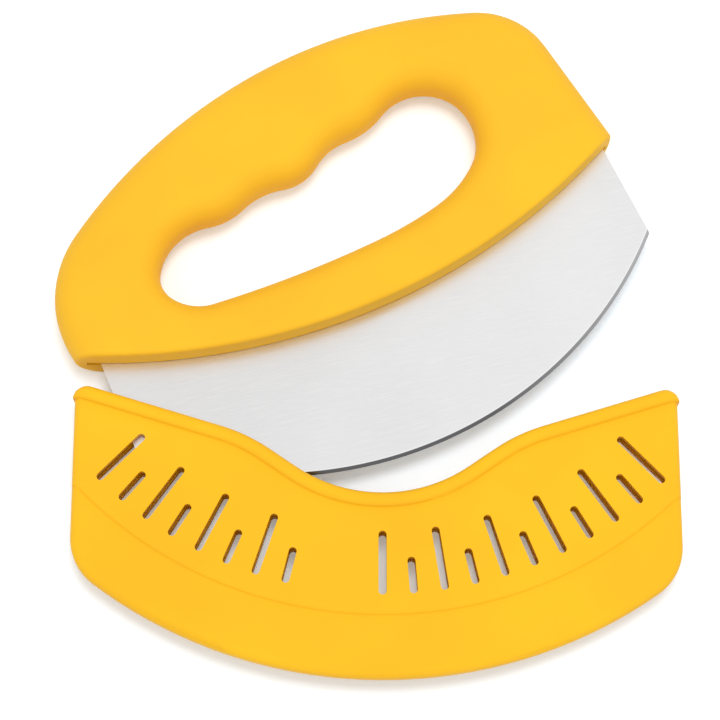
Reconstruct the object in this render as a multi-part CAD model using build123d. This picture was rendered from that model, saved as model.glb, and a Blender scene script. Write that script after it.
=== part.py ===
from build123d import *
from math import asin, atan2, cos, degrees, radians, sin, sqrt, tan
import os

# A rocking knife for pizza, lying on its side, with its blade cover swung part way off the blade.
# Lengths are in millimetres. The knife is drawn flat, as it is seen from above: X runs along the
# blade from left to right, Y runs from the cutting edge to the grip, and Z is the knife's thickness.
# Zero is the middle of the blade's top line, where it leaves the handle, half way through the steel.
# Each piece is put down at the end, so that the knife lies on the floor of its frame.

# Driving sizes of the blade
blade_length = 186.0            # between the blade's two ends, at the handle's lip
blade_end_depth = 33.8          # from the lip's ends down to the corners, where the edge starts
blade_depth = 71.2              # from the lip's ends down to the lowest point of the edge
blade_flare = 1.0               # how much further out each end stands at its corner
blade_thick = 1.5
edge_thick = 0.3                # what the grinding leaves at the cutting edge
bevel_width = 1.1
blade_corner_radius = 1.0
tang_depth = 12.0               # how deep the steel goes into the handle
tang_shoulder = 7.0             # how much shorter the tang is at each end, inside the handle
shoulder_seat = 2.0             # how far the full length of the blade goes into the lip

# Driving sizes of the handle
left_overhang = 8.4             # from the blade's left end to the handle's
right_overhang = 4.4            # from the blade's right end to the handle's tip
handle_height = 74.7            # from the lip's ends to the top of the grip
handle_thick = 21.0
side_flat = 3.0                 # the straight band between the roundings of the two faces
lip_sag = 20.5                  # how far the lip bows down between the blade's two ends
lip_round = 1.7
grip_wall = 2.5                 # soft skin over the hard core
slot_gap = 0.4                  # beside the blade, on each face, in the soft lip
slot_past_left = 4.3            # how far the slot runs on past the blade's left end
slot_past_right = 1.2

# Driving sizes of the walls round the finger opening
wall_left = 37.3                # from the handle's left end to the opening
wall_right = 41.4               # from the opening to the handle's tip
wall_top = 28.45                # from the opening's highest hollow to the top of the grip
wall_low = 0.55                 # from the lip's ends up to the lowest point of the opening

# Driving sizes of the pins that lock the tang in the core
pin_radius = 2.0
pin_depth = 7.0                 # from the lip to the pins, measured into the handle
pin_inner = 24.0                # from the middle to the inner pins
pin_end_gap = 16.0              # from the tang's ends to the outer pins
pin_clearance = 0.1             # in the tang's holes

# Driving sizes of the blade cover, drawn about its own middle
cover_panel_thick = 7.6
cover_step = 0.6                # how much lower the band below the panel lies, on each face
cover_round = 2.4               # rounding of its long outer edges
cover_corner_radius = 19.0
cover_end_wall = 1.8
cover_shift = 0.4               # on the blade, its middle lies this far to the right of the blade's
foot_width = 19.45              # the thinner band below the panel, at its middle
foot_ease = 17.4                # how much larger the bottom edge's radius is than the pocket's
pocket_gap = 0.6                # beside the blade, on each face
pocket_end_gap = 3.8            # past the blade's corners
pocket_depth_gap = 8.8          # between the cutting edge and the bottom of the pocket
pocket_ease = 3.07              # how much larger the pocket's radius is than the cutting edge's
rim_width = 5.6
rim_flat = 0.6                  # what stays flat along the rim's top, between its roundings
rim_stand = 1.1                 # how far the rim stands out of the panel, on each face
rim_end_flat = 0.9              # what stays straight at each end of the rim, under its corner
rim_proud = 0.7                 # how far the rim's ends stand out past the cover's ends
rim_end_drop = 6.5              # from the lip's ends down to the rim's middle
throat_drop = 20.8              # from the lip's lowest point down to the rim's, at its middle
throat_slope = 34.5             # degrees, on each side of the dip
throat_radius = 52.7
shoulder_radius = 55.3
shoulder_reach = 45.7           # from the dip's middle to the bend between the two slopes
throat_shift = 2.0              # the dip lies this far to the right of the cover's middle

# Driving sizes of the drain slots through both walls of the cover
drain_width = 2.6
drain_long = 21.0
drain_short = 12.0
drain_margin = 7.5              # from the slots' lower ends to the bottom of the pocket
drain_pitch = 10.17             # between neighbouring slots, along their lower ends
drain_left_outer = 8.6          # from the cover's left end to the lower end of the first slot
drain_right_outer = 5.6
drain_left_inner = 31.6         # from the dip's middle to the last slot of the left group
drain_right_inner = 0.0

# How the cover lies: it swings about a point just past the handle's left end
swing_past = 4.5                # from the handle's left end out to the point
swing_lift = 7.3                # from the lip's ends up to it
swing_open = 24.4               # degrees, from the cover's seat to where it lies

overrun = 5.0                   # how far a cutting body reaches past what it cuts
height_slack = 0.01             # two heights that differ by less are the same

# Outline of the grip, as shares of half the handle's length and of its height. The first point
# ends the straight right end, and an arc, tangent to the one before, runs to each of the others.
crown_shares = ((0.916, 0.558), (0.738, 0.853), (0.363, 0.981), (-0.102, 0.976), (-0.522, 0.822),
                (-0.845, 0.593), (-0.99, 0.36), (-1.02, 0.144), (-0.998, -0.015))

# Outline of the finger opening, as shares of half its length and half its height. It starts at
# the left, runs along the bottom and comes back over the four finger hollows, in tangent arcs.
# The number of points is odd, because only such a ring of arcs can close smoothly.
opening_shares = ((-0.975, -0.083), (-0.966, -0.598), (-0.775, -0.893), (0.201, -0.981),
                  (0.582, -0.856), (0.864, -0.512), (0.991, 0.435), (0.738, 0.994),
                  (0.563, 0.886), (0.309, 0.722), (0.098, 0.545), (-0.138, 0.414),
                  (-0.389, 0.367), (-0.616, 0.32), (-0.908, 0.13))

half_blade = blade_length / 2
half_thick = handle_thick / 2
corner_reach = half_blade + blade_flare
edge_sag = blade_depth - blade_end_depth
edge_radius = (corner_reach ** 2 + edge_sag ** 2) / (2 * edge_sag)
edge_center_y = edge_radius - blade_depth
lip_radius = (half_blade ** 2 + lip_sag ** 2) / (2 * lip_sag)
lip_center_y = lip_radius - lip_sag
tang_reach = half_blade - tang_shoulder
handle_left = half_blade + left_overhang
handle_right = half_blade + right_overhang
handle_round = (handle_thick - side_flat) / 2
core_thick = handle_thick - 2 * grip_wall
opening_left = wall_left - handle_left
opening_right = handle_right - wall_right
opening_top = handle_height - wall_top
half_cover = corner_reach + pocket_end_gap + cover_end_wall
pocket_thick = blade_thick + 2 * pocket_gap
pocket_bottom = blade_depth + pocket_depth_gap
step_radius = edge_radius + pocket_ease
foot_radius = step_radius + foot_ease
foot_thick = cover_panel_thick - 2 * cover_step
rim_thick = cover_panel_thick + 2 * rim_stand
rim_round = (rim_width - rim_flat) / 2
throat_bottom = lip_sag + throat_drop
swing_x = -handle_left - swing_past


def plate(face, thick):
    """The face as a flat body of this thickness, half of it above the blade's middle."""
    return extrude(face, thick / 2, both=True)


def disc(center_x, center_y, radius):
    """A round face with this middle."""
    return Pos(center_x, center_y) * Circle(radius)


def band(left, right, low, high):
    """A rectangular face between these four sides."""
    width = right - left
    height = high - low
    return Pos(left + width / 2, low + height / 2) * Rectangle(width, height)


def at_height(body, height):
    """The flat edges of the body at this height above or below the blade's middle."""
    lines = body.edges().filter_by(Plane.XY)
    return lines.filter_by(lambda edge: abs(abs(edge.center().Z) - height) < height_slack)


def arc_chain(points, heading):
    """Arcs from each point to the next, each tangent to the one before, and the last direction."""
    arcs = []
    for here, there in zip(points, points[1:]):
        arc = TangentArc(here, there, tangent=heading)
        heading = arc % 1
        arcs.append(arc)
    return arcs, heading


# The handle: one outline for the soft grip, and the same one drawn in by the skin for the core
def grip_outline():
    """The crown and both ends of the handle, carried on below the lip, as a face."""
    half_length = (handle_left + handle_right) / 2
    points = [Vector(x * half_length, y * handle_height) for x, y in crown_shares]
    tip = Vector(handle_right, 0)
    heading = (points[0] - tip).normalized()
    start = tip - heading * (lip_sag + overrun)
    arcs, end_heading = arc_chain(points, heading)
    end = points[-1] + end_heading * (lip_sag + overrun)
    return make_face([Line(start, points[0]), *arcs, Line(points[-1], end), Line(end, start)])


def opening_outline():
    """The finger opening, with its four hollows, as a face."""
    half_length = (opening_right - opening_left) / 2
    half_height = (opening_top - wall_low) / 2
    middle = Vector(opening_left + half_length, wall_low + half_height)
    ring = [middle + Vector(x * half_length, y * half_height) for x, y in opening_shares]
    ring.append(ring[0])
    turn = 0
    for here, there in zip(ring, ring[1:]):
        turn = atan2(there.Y - here.Y, there.X - here.X) - turn
    arcs, _ = arc_chain(ring, Vector(-cos(turn), -sin(turn)))
    return make_face(arcs)


def handle_form(inset):
    """The handle's outer form, drawn in by the inset on every side, without its slot."""
    thick = handle_thick - 2 * inset
    outline = grip_outline()
    opening = opening_outline()
    if inset:
        outline = offset(outline, -inset)
        opening = offset(opening, inset)
    body = plate(outline, thick) - plate(opening, thick + overrun)
    crown = at_height(body, thick / 2).filter_by(lambda edge: edge.center().Y > -lip_sag / 2)
    body = fillet(crown, handle_round - inset)
    return body & plate(disc(0, lip_center_y, lip_radius - inset), thick)


def lip_band(depth, left, right):
    """A face that follows the lip, from just below it to this depth into the handle."""
    ring = disc(0, lip_center_y, lip_radius + overrun) - disc(0, lip_center_y, lip_radius - depth)
    return ring & band(-left, right, -lip_sag - overrun, handle_height)


def pin_places():
    """The middles of the four pins, which follow the lip."""
    radius = lip_radius - pin_depth
    reaches = [side * reach for reach in (pin_inner, tang_reach - pin_end_gap) for side in (-1, 1)]
    return [Pos(reach, lip_center_y - sqrt(radius ** 2 - reach ** 2)) for reach in reaches]


def make_pins():
    """Four steel pins through the core and the tang, ending under the soft skin."""
    return [place * Cylinder(pin_radius, core_thick) for place in pin_places()]


def make_core(pins):
    """The hard core, with a tight slot for the tang and a hole for each pin."""
    slot = plate(lip_band(tang_depth, tang_reach, tang_reach), blade_thick)
    return handle_form(grip_wall) - slot - pins


def make_grip():
    """The soft skin round the core, with its rounded lip and the wider slot for the blade."""
    form = handle_form(0)
    lip = max(form.faces().filter_by(GeomType.CYLINDER), key=lambda face: face.area)
    form = fillet(lip.outer_wire().edges(), lip_round)
    slot = lip_band(grip_wall, half_blade + slot_past_left, half_blade + slot_past_right)
    return form - handle_form(grip_wall) - plate(slot, blade_thick + 2 * slot_gap)


# The blade
def make_blade():
    """The steel: a curved edge ground on both faces, and a tang with a hole for each pin."""
    outline = Polyline((-corner_reach, -blade_end_depth), (-half_blade, 0),
                       (half_blade, 0), (corner_reach, -blade_end_depth))
    edge = ThreePointArc(outline @ 1, (0, -blade_depth), outline @ 0)
    face = make_face([outline, edge])
    low_corners = face.vertices().sort_by(Axis.Y)[:2]
    face = fillet(low_corners, blade_corner_radius)
    top = lip_radius - shoulder_seat
    face = face + band(-half_blade, half_blade, -overrun, overrun)
    face = face - disc(0, lip_center_y, top)
    tang = lip_band(tang_depth, tang_reach, tang_reach) & disc(0, lip_center_y, lip_radius)
    blade = plate(face + tang, blade_thick)
    grind = Polyline((edge_radius - bevel_width, blade_thick / 2), (edge_radius, edge_thick / 2),
                     (edge_radius + overrun, edge_thick / 2), (edge_radius + overrun, blade_thick / 2),
                     (edge_radius - bevel_width, blade_thick / 2))
    ring = revolve(Plane.XZ * make_face(grind), Axis.Z)
    ring = Pos(0, edge_center_y) * ring
    blade = blade - ring - mirror(ring, Plane.XY)
    hole = Cylinder(pin_radius + pin_clearance, blade_thick + overrun)
    return blade - [place * hole for place in pin_places()]


# The blade cover
def rim_line(reach):
    """The middle of the rim, this far to each side: two gentle slopes that bend down into the dip."""
    vertex = throat_bottom + throat_radius * (1 / cos(radians(throat_slope)) - 1)
    bend = vertex - shoulder_reach * tan(radians(throat_slope))
    rise = (bend - rim_end_drop) / (half_blade - shoulder_reach)
    ends = []
    for x in (-reach, reach):
        run = abs(x - throat_shift) - shoulder_reach
        ends.append((x, run * rise - bend))
    points = [ends[0], (throat_shift - shoulder_reach, -bend), (throat_shift, -vertex),
              (throat_shift + shoulder_reach, -bend), ends[1]]
    return FilletPolyline(*points, radius=[shoulder_radius, throat_radius, shoulder_radius])


def below_rim(face):
    """What of the face lies below the middle of the rim."""
    side = 2 * half_cover
    line = rim_line(side)
    roof = Polyline(line @ 1, (side, side), (-side, side), line @ 0)
    return face - make_face([line, roof])


def outer_edges(body, height):
    """The edges at this height that run round the cover's ends and bottom, not along its rim."""
    under_dip = -throat_bottom - rim_width
    end_reach = half_cover - cover_round
    return at_height(body, height).filter_by(
        lambda edge: edge.center().Y < under_dip or abs(edge.center().X) > end_reach)


def step_disc():
    """A round face whose lower edge is the bottom of the pocket, and the step on the panel."""
    return disc(throat_shift, step_radius - pocket_bottom, step_radius)


def make_panel():
    """The thicker upper part of the cover, down to the step."""
    face = below_rim(band(-half_cover, half_cover, -pocket_bottom, half_cover) & step_disc())
    body = plate(face, cover_panel_thick)
    return fillet(outer_edges(body, cover_panel_thick / 2), cover_round)


def make_foot():
    """The whole plate of the cover, at the lower band's thickness."""
    bottom = pocket_bottom + foot_width
    foot_disc = disc(throat_shift, foot_radius - bottom, foot_radius)
    face = band(-half_cover, half_cover, -bottom, half_cover) & foot_disc
    corners = face.vertices().sort_by(Axis.Y)[:2]
    face = below_rim(fillet(corners, cover_corner_radius))
    body = plate(face, foot_thick)
    return fillet(outer_edges(body, foot_thick / 2), cover_round)


def make_rim():
    """The rounded rim along the mouth of the cover, on both faces."""
    half = half_cover + rim_proud
    strip = make_face(offset(rim_line(half + overrun), rim_width / 2, side=Side.BOTH))
    deeper = strip + Pos(0, -rim_width / 2) * strip
    deeper = deeper & band(-half, half, -pocket_bottom, half)
    corners = deeper.vertices().sort_by(Axis.Y)[-2:]
    face = fillet(corners, rim_width - rim_end_flat) & strip
    body = plate(face, rim_thick)
    return fillet(at_height(body, rim_thick / 2), rim_round)


def drain_slots():
    """Two groups of long and short slots, fanned out about the middle of the pocket's curve."""
    lower_radius = step_radius - drain_margin
    pitch = degrees(drain_pitch / lower_radius)
    fan = Pos(throat_shift, step_radius - pocket_bottom)
    slots = []
    for side, outer, inner in ((-1, drain_left_outer, drain_left_inner),
                               (1, drain_right_outer, drain_right_inner)):
        reach = half_cover - outer - side * throat_shift
        first = degrees(asin(reach / lower_radius))
        last = degrees(asin(inner / lower_radius))
        for number in range(round((first - last) / pitch) + 1):
            length = drain_short if number % 2 else drain_long
            slot = Pos(0, length / 2 - lower_radius) * Rot(0, 0, 90) * SlotOverall(length, drain_width)
            turned = fan * Rot(0, 0, side * (first - number * pitch)) * slot
            slots.append(plate(turned, rim_thick + overrun))
    return slots


def make_cover():
    """The hollow cover on the blade: panel, lower band and rim, the pocket, and the drain slots."""
    half = half_cover - cover_end_wall
    pocket = plate(band(-half, half, -pocket_bottom, half) & step_disc(), pocket_thick)
    return make_foot() + make_panel() + make_rim() - pocket - drain_slots()


def swing_off(body):
    """The cover turned about the swing point, from its seat on the blade to where it lies."""
    seated = Pos(cover_shift - swing_x, -swing_lift) * body
    return Pos(swing_x, swing_lift) * Rot(0, 0, -swing_open) * seated


# The knife is put down on its back face. The frame's zero is the middle of the flat that the
# handle's lower bar rests on, between the rounding of the opening and the rounding of the lip.
bar_top = wall_low - handle_round
bar_middle = (bar_top - lip_sag + lip_round) / 2
floor_place = Pos(0, -bar_middle, half_thick)

pins = make_pins()
pieces = {
    "blade": make_blade(),
    "handle_core": make_core(pins),
    "tang_pins": Compound(children=pins),
    "soft_grip": make_grip(),
    "blade_cover": swing_off(make_cover()),
}

os.makedirs("parts", exist_ok=True)
for name, piece in pieces.items():
    placed = floor_place * piece
    export_step(placed, os.path.join("parts", name + ".step"))
    print(name, round(placed.volume), "mm3")
print("edge radius", round(edge_radius, 2), "lip radius", round(lip_radius, 2))
print("bar middle", round(bar_middle, 2), "zero to swing point",
      round(swing_x, 2), round(swing_lift - bar_middle, 2))
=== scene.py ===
from math import cos, radians, sin

import bpy
from mathutils import Matrix, Vector

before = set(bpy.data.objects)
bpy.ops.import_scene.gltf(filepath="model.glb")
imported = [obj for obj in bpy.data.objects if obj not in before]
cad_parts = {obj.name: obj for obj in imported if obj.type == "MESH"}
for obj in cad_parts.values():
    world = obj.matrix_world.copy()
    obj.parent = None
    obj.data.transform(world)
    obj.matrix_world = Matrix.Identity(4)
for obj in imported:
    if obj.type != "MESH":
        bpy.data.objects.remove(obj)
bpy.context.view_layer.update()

# The photograph was taken from almost straight above. Its plane is the blade's middle, its zero is
# the middle of the picture, and the knife is turned in it by this angle. Lengths are in metres.
PHOTO_TURN = radians(24.37)
PHOTO_ZERO = Vector((-0.0015, 0.0369))
BLADE_MIDDLE = Vector((0.0, 0.013625, 0.0105))
CAMERA_TILT = radians(17.0)
CAMERA_DISTANCE = 0.7733
CAMERA_LENS = 116.0
CAMERA_SENSOR = 36.0
CAMERA_NEAR = 0.01

# One soft lamp, almost straight above: how far right, up and high in the picture's own directions
LAMP_PLACE = (0.1, 0.2, 1.55)
LAMP_SIZE = 0.6
LAMP_POWER = 10.2

# The room's light from the picture's bottom and middle, and the share of it that its top gives
ROOM_BOTTOM = 0.77
ROOM_MIDDLE = 0.72
ROOM_TOP_SHARE = 0.7

# The brightness of the room in reflections, at the picture's left and right, and its top's share
MIRRORED_LEFT = 0.8
MIRRORED_RIGHT = 1.11
MIRRORED_TOP_SHARE = 0.88

SKIN = (0.955, 0.525, 0.028)
COVER = (0.965, 0.525, 0.016)
STEEL = (0.9, 0.9, 0.903)
PIN_STEEL = (0.7, 0.7, 0.71)
# Ground band: darker partly for its finish and partly as a painted dark reflection, lighter at the
# right; then its painted highlight
GROUND_AND_REFLECTION_LEFT = (0.12, 0.12, 0.125)
GROUND_AND_REFLECTION_RIGHT = (0.42, 0.42, 0.425)
BEVEL_PAINTED_HIGHLIGHT = (0.97, 0.97, 0.97)
FLOOR = (0.92, 0.92, 0.92)
FLOOR_SEEN = (0.86, 0.93, 1.0)
FLOOR_GLOW = (1.0, 1.0, 0.96)
FLOOR_GLOW_LEVEL = 0.25
FLOOR_SIZE = 12.0

# Shares of a colour's red, green and blue: the plastic's drift and the shade painted in its
# creases, and the steel's clouds, streaks and hairs
DRIFT_DEEP = (0.97, 0.94, 1.0)
DRIFT_PALE = (1.01, 1.03, 1.0)
CREASE_PAINTED_SHADE = (0.92, 0.78, 0.0)
CLOUD_DULL = (0.94, 0.94, 0.94)
STREAK_BRIGHT = (1.07, 1.07, 1.07)
HAIR_DARK = (0.9, 0.9, 0.9)

# How fine each noise is, and how far those of the steel are drawn out
DRIFT_SCALE = 28.0
WAVE_SCALE = 70.0
GLOSS_SCALE = 450.0
CLOUD_SCALE = 22.0
STREAK_SCALE = 95.0
STREAK_STRETCH = 34.0
HAIR_SCALE = 260.0
HAIR_STRETCH = 60.0
BRUSHING_TURN = radians(12.0)

# How open a place is, from 1 down to 0, with what its own piece hides of it within this reach. The
# shade painted in a crease starts at the first of these and is full at the next. In a deeper hole,
# such as a drain slot, it fades from the third and is gone at the last.
CREASE_REACH = 0.004
CREASE_STARTS = 0.99
CREASE_FULL = 0.74
CREASE_FADES = 0.7
CREASE_GONE = 0.45

# The cutting edge is an arc about this point, and the ground band runs along it, darker than the
# flat partly for its coarser finish and partly as a painted dark reflection. A thin painted
# highlight follows the band's upper side, and the band's painted reflection gets lighter between
# these two places along the blade.
EDGE_MIDDLE = (0.0, 0.07926, 0.0)
EDGE_RADIUS = 0.13683
BEVEL_WIDTH = 0.0011
BEVEL_START = EDGE_RADIUS - BEVEL_WIDTH
BEVEL_BLUR = 0.0001
BEVEL_HIGHLIGHT_START = BEVEL_START - 0.0005
BEVEL_HIGHLIGHT_FULL = BEVEL_START - 0.0003
REFLECTION_LIGHTER_FROM = 0.02
REFLECTION_LIGHTEST_FROM = 0.09


def from_photo(right, up, high):
    """A point of the row frame, given in the picture's own directions from its middle."""
    x = right - PHOTO_ZERO.x
    y = up - PHOTO_ZERO.y
    return BLADE_MIDDLE + photo_direction(x, y, high)


def photo_direction(right, up, high):
    """A direction of the row frame, given in the picture's own directions."""
    c, s = cos(PHOTO_TURN), sin(PHOTO_TURN)
    return Vector((right * c + up * s, up * c - right * s, high))


def shaded(colour, shares):
    return tuple(min(part * share, 1.0) for part, share in zip(colour, shares))


class Nodes:
    """A node tree whose nodes are added by name, and joined as they are made."""

    def __init__(self, tree):
        self.tree = tree

    def add(self, kind, inputs=None, **settings):
        node = self.tree.nodes.new(kind)
        for key, value in settings.items():
            setattr(node, key, value)
        for key, value in (inputs or {}).items():
            if isinstance(value, bpy.types.NodeSocket):
                self.tree.links.new(value, node.inputs[key])
            else:
                node.inputs[key].default_value = value
        return node

    def spread(self, value, low, high, start=0.3, stop=0.7, kind="LINEAR"):
        """Goes from low to high while the value goes from start to stop, and no further."""
        return self.add("ShaderNodeMapRange", {"Value": value, "From Min": start, "From Max": stop,
                                               "To Min": low, "To Max": high},
                        interpolation_type=kind).outputs["Result"]

    def ease(self, value, low, high, start, stop):
        return self.spread(value, low, high, start, stop, "SMOOTHSTEP")

    def times(self, one, other):
        return self.add("ShaderNodeMath", {0: one, 1: other}, operation="MULTIPLY").outputs["Value"]

    def vector(self, operation, one, other):
        """The one number that comes from two vectors."""
        return self.add("ShaderNodeVectorMath", {0: one, 1: other},
                        operation=operation).outputs["Value"]

    def blend(self, factor, one, other):
        """A number between two numbers."""
        return self.add("ShaderNodeMix", {0: factor, 2: one, 3: other}).outputs[0]

    def mix(self, factor, one, other):
        """A colour between two colours."""
        one, other = (colour if isinstance(colour, bpy.types.NodeSocket) else (*colour, 1.0)
                      for colour in (one, other))
        return self.add("ShaderNodeMix", {0: factor, 6: one, 7: other},
                        data_type="RGBA").outputs[2]


class Material(Nodes):
    """A material whose shader and nodes are set up by name."""

    def __init__(self, name, base, rough, metallic=0.0):
        self.data = bpy.data.materials.new(name)
        self.data.use_nodes = True
        super().__init__(self.data.node_tree)
        self.shader = self.tree.nodes["Principled BSDF"]
        self.fix("Base Color", (*base, 1.0))
        self.fix("Metallic", metallic)
        self.fix("Roughness", rough)
        self.data.diffuse_color = (*base, 1.0)

    def fix(self, socket, value):
        self.shader.inputs[socket].default_value = value

    def use(self, socket, value):
        self.tree.links.new(value, self.shader.inputs[socket])

    def place(self, stretch=(1.0, 1.0, 1.0), turn=0.0):
        """The object's own coordinates, turned about Z and stretched."""
        coordinates = self.add("ShaderNodeTexCoord")
        turned = self.add("ShaderNodeMapping", {"Vector": coordinates.outputs["Object"],
                                                "Rotation": (0.0, 0.0, turn)})
        return self.add("ShaderNodeMapping", {"Vector": turned.outputs["Vector"],
                                              "Scale": stretch}).outputs["Vector"]

    def noise(self, place, scale, detail, rough=0.5):
        return self.add("ShaderNodeTexNoise", {"Vector": place, "Scale": scale, "Detail": detail,
                                               "Roughness": rough}).outputs["Fac"]

    def bump(self, height, distance, strength, under=None):
        inputs = {"Height": height, "Distance": distance, "Strength": strength}
        if under:
            inputs["Normal"] = under
        return self.add("ShaderNodeBump", inputs).outputs["Normal"]

    def painted_crease_shade(self):
        """Where shade is painted: 1 in a shallow crease and 0 where the piece is flat or has a deep
        hole.
        """
        openness = self.add("ShaderNodeAmbientOcclusion", {"Distance": CREASE_REACH}, samples=8,
                            only_local=True).outputs["AO"]
        return self.times(self.spread(openness, 1.0, 0.0, CREASE_FULL, CREASE_STARTS),
                          self.spread(openness, 0.0, 1.0, CREASE_GONE, CREASE_FADES))


def plastic(name, base, rough, grain, grain_depth):
    """Moulded plastic: a fine grain, a slightly uneven gloss, a colour that drifts a little, and a
    painted shade of deeper colour in the shallow creases, for the shade there and the light that
    comes back off the plastic itself."""
    material = Material(name, base, rough)
    place = material.place()
    drift = material.spread(material.noise(place, DRIFT_SCALE, 2.0), 0.0, 1.0)
    shade = material.mix(drift, shaded(base, DRIFT_DEEP), shaded(base, DRIFT_PALE))
    # Painted shade: a deeper orange in the piece's own shallow creases.
    shade = material.mix(material.painted_crease_shade(), shade, shaded(base, CREASE_PAINTED_SHADE))
    material.use("Base Color", shade)
    gloss = material.noise(place, GLOSS_SCALE, 4.0)
    material.use("Roughness", material.spread(gloss, rough - 0.05, rough + 0.05))
    waves = material.bump(material.noise(place, WAVE_SCALE, 1.0), distance=0.0003, strength=0.12)
    fine = material.noise(place, grain, 2.0)
    material.use("Normal", material.bump(fine, grain_depth, strength=0.35, under=waves))
    return material


def ground_band_and_reflection(material, shade):
    """The steel's shade with the band that is ground along the cutting edge. The band's dark tone
    is partly its coarser finish and partly a painted dark reflection, lighter towards the right,
    and a painted highlight runs along its upper side.
    """
    flat = material.place((1.0, 1.0, 0.0))
    reach = material.vector("DISTANCE", flat, EDGE_MIDDLE)
    # Painted highlight: a thin bright line along the band's upper side.
    painted_highlight = material.spread(reach, 0.0, 1.0, BEVEL_HIGHLIGHT_START, BEVEL_HIGHLIGHT_FULL)
    shade = material.mix(painted_highlight, shade, BEVEL_PAINTED_HIGHLIGHT)
    band = material.spread(reach, 0.0, 1.0, BEVEL_START - BEVEL_BLUR, BEVEL_START + BEVEL_BLUR)
    along = material.add("ShaderNodeSeparateXYZ", {0: flat}).outputs["X"]
    # Painted reflection: the band is darker at the left and lighter at the right.
    reflection_lighter = material.spread(along, 0.0, 1.0, REFLECTION_LIGHTER_FROM, REFLECTION_LIGHTEST_FROM)
    ground_and_reflection = material.mix(reflection_lighter, GROUND_AND_REFLECTION_LEFT, GROUND_AND_REFLECTION_RIGHT)
    return material.mix(band, shade, ground_and_reflection)


def brushed(name, base, rough, turn, ground_and_reflection=False):
    """Brushed steel: long fine streaks in one direction, and the faint clouds of a rolled sheet."""
    material = Material(name, base, rough, metallic=1.0)
    along_streaks = material.place((1.0, STREAK_STRETCH, 1.0), turn)
    streaks = material.noise(along_streaks, STREAK_SCALE, 6.0, 0.62)
    along_hairs = material.place((1.0, HAIR_STRETCH, 1.0), turn)
    hairs = material.noise(along_hairs, HAIR_SCALE, 4.0, 0.6)
    clouds = material.spread(material.noise(material.place(), CLOUD_SCALE, 3.0), 0.0, 1.0)
    shade = material.mix(clouds, shaded(base, CLOUD_DULL), base)
    bright = material.spread(streaks, 0.0, 0.8, 0.48, 0.7)
    shade = material.mix(bright, shade, shaded(base, STREAK_BRIGHT))
    dark = material.spread(hairs, 0.5, 0.0, 0.3, 0.5)
    shade = material.mix(dark, shade, shaded(base, HAIR_DARK))
    # The ground band, with its painted dark reflection and painted highlight.
    if ground_and_reflection:
        shade = ground_band_and_reflection(material, shade)
    material.use("Base Color", shade)
    material.use("Roughness", material.spread(streaks, rough - 0.05, rough + 0.07))
    broad = material.bump(streaks, distance=0.00002, strength=0.15)
    material.use("Normal", material.bump(hairs, distance=0.00001, strength=0.1, under=broad))
    material.fix("Anisotropic", 0.4)
    return material


def white_floor():
    """A plain white floor, lit by the same light as the knife. For the camera alone it is a little
    cooler and glows faintly, which balances the yellow light that the knife throws on it."""
    material = Material("white_floor", FLOOR, rough=0.9)
    material.fix("Specular IOR Level", 0.0)
    seen = material.add("ShaderNodeLightPath").outputs["Is Camera Ray"]
    material.use("Base Color", material.mix(seen, FLOOR, FLOOR_SEEN))
    material.fix("Emission Color", (*FLOOR_GLOW, 1.0))
    material.use("Emission Strength", material.times(seen, FLOOR_GLOW_LEVEL))
    return material


def white_room():
    """Soft light from a white room, weakest from beyond the top of the picture. Reflections see a
    whiter room, brighter towards the picture's right, and the camera sees it pure white."""
    world = bpy.data.worlds.new("studio")
    bpy.context.scene.world = world
    world.use_nodes = True
    room = Nodes(world.node_tree)
    direction = room.add("ShaderNodeTexCoord").outputs["Generated"]
    upward = room.vector("DOT_PRODUCT", direction, photo_direction(0.0, 1.0, 0.0))
    sideways = room.vector("DOT_PRODUCT", direction, photo_direction(1.0, 0.0, 0.0))
    soft = room.times(room.ease(upward, ROOM_BOTTOM, ROOM_MIDDLE, -0.6, 0.2),
                      room.ease(upward, 1.0, ROOM_TOP_SHARE, 0.3, 0.9))
    mirrored = room.times(room.ease(upward, 1.0, MIRRORED_TOP_SHARE, 0.15, 0.5),
                          room.spread(sideways, MIRRORED_LEFT, MIRRORED_RIGHT, -0.3, 0.3))
    rays = room.add("ShaderNodeLightPath").outputs
    level = room.blend(rays["Is Glossy Ray"], soft, mirrored)
    level = room.blend(rays["Is Camera Ray"], level, 1.0)
    background = world.node_tree.nodes["Background"]
    background.inputs["Color"].default_value = (1.0, 1.0, 1.0, 1.0)
    world.node_tree.links.new(level, background.inputs["Strength"])


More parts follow.
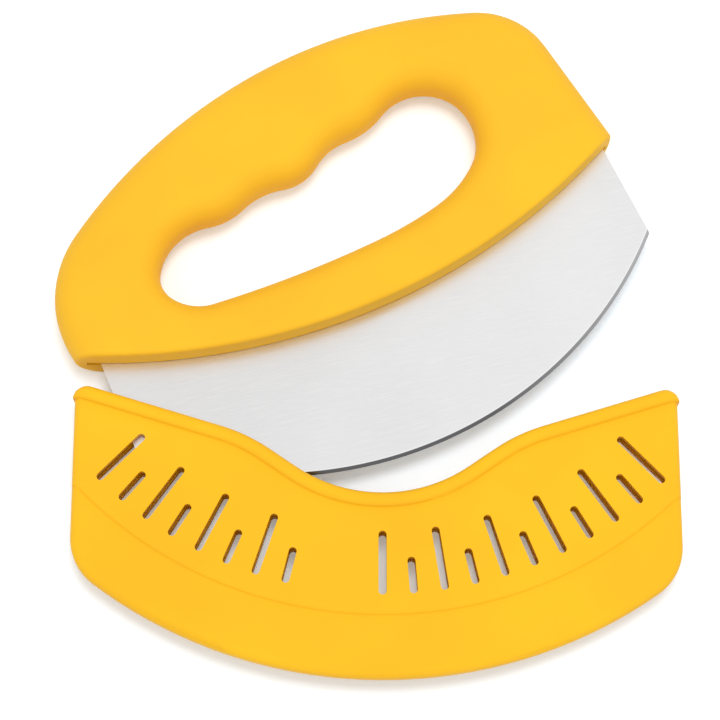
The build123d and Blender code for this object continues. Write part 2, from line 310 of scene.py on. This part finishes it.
def area_light(name, spot, aim, size, power):
    """A round lamp that looks at a point and isn't seen in reflections."""
    data = bpy.data.lights.new(name, "AREA")
    data.shape = "DISK"
    data.size = size
    data.energy = power
    lamp = bpy.data.objects.new(name, data)
    lamp.location = spot
    lamp.rotation_euler = (aim - spot).to_track_quat("-Z", "Y").to_euler()
    lamp.visible_glossy = False
    bpy.context.scene.collection.objects.link(lamp)


def photo_camera(aim):
    """The camera of the photograph, looking at a point."""
    data = bpy.data.cameras.new("camera")
    data.lens = CAMERA_LENS
    data.sensor_width = CAMERA_SENSOR
    data.clip_start = CAMERA_NEAR
    camera = bpy.data.objects.new("camera", data)
    bpy.context.scene.collection.objects.link(camera)
    back = photo_direction(0.0, -sin(CAMERA_TILT), cos(CAMERA_TILT))
    right = photo_direction(1.0, 0.0, 0.0)
    turned = Matrix((right, back.cross(right), back)).transposed().to_4x4()
    turned.translation = aim + back * CAMERA_DISTANCE
    camera.matrix_world = turned
    bpy.context.scene.camera = camera


skin = plastic("soft_skin", SKIN, rough=0.52, grain=2600.0, grain_depth=0.00004)
skin.fix("IOR", 1.2)
skin.fix("Sheen Weight", 0.01)
skin.fix("Sheen Roughness", 0.5)
core = plastic("core_plastic", SKIN, rough=0.5, grain=1800.0, grain_depth=0.00004)
cover = plastic("cover_plastic", COVER, rough=0.4, grain=1500.0, grain_depth=0.00002)
cover.fix("IOR", 1.25)
blade_steel = brushed("brushed_blade_steel", STEEL, 0.32, BRUSHING_TURN, ground_and_reflection=True)
pin_steel = brushed("pin_steel", PIN_STEEL, 0.35, 0.0)

for node, material in (("soft_grip", skin), ("handle_core", core), ("blade_cover", cover),
                       ("blade", blade_steel), ("tang_pins", pin_steel)):
    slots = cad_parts[node].data.materials
    slots.clear()
    slots.append(material.data)

bpy.ops.mesh.primitive_plane_add(size=FLOOR_SIZE, location=(0.0, 0.0, 0.0))
floor = bpy.context.object
floor.name = "floor"
floor.data.materials.append(white_floor().data)

white_room()
picture_middle = from_photo(0.0, 0.0, 0.0)
area_light("key_light", from_photo(*LAMP_PLACE), picture_middle, LAMP_SIZE, LAMP_POWER)
photo_camera(picture_middle)
bpy.context.scene.view_settings.view_transform = "Standard"
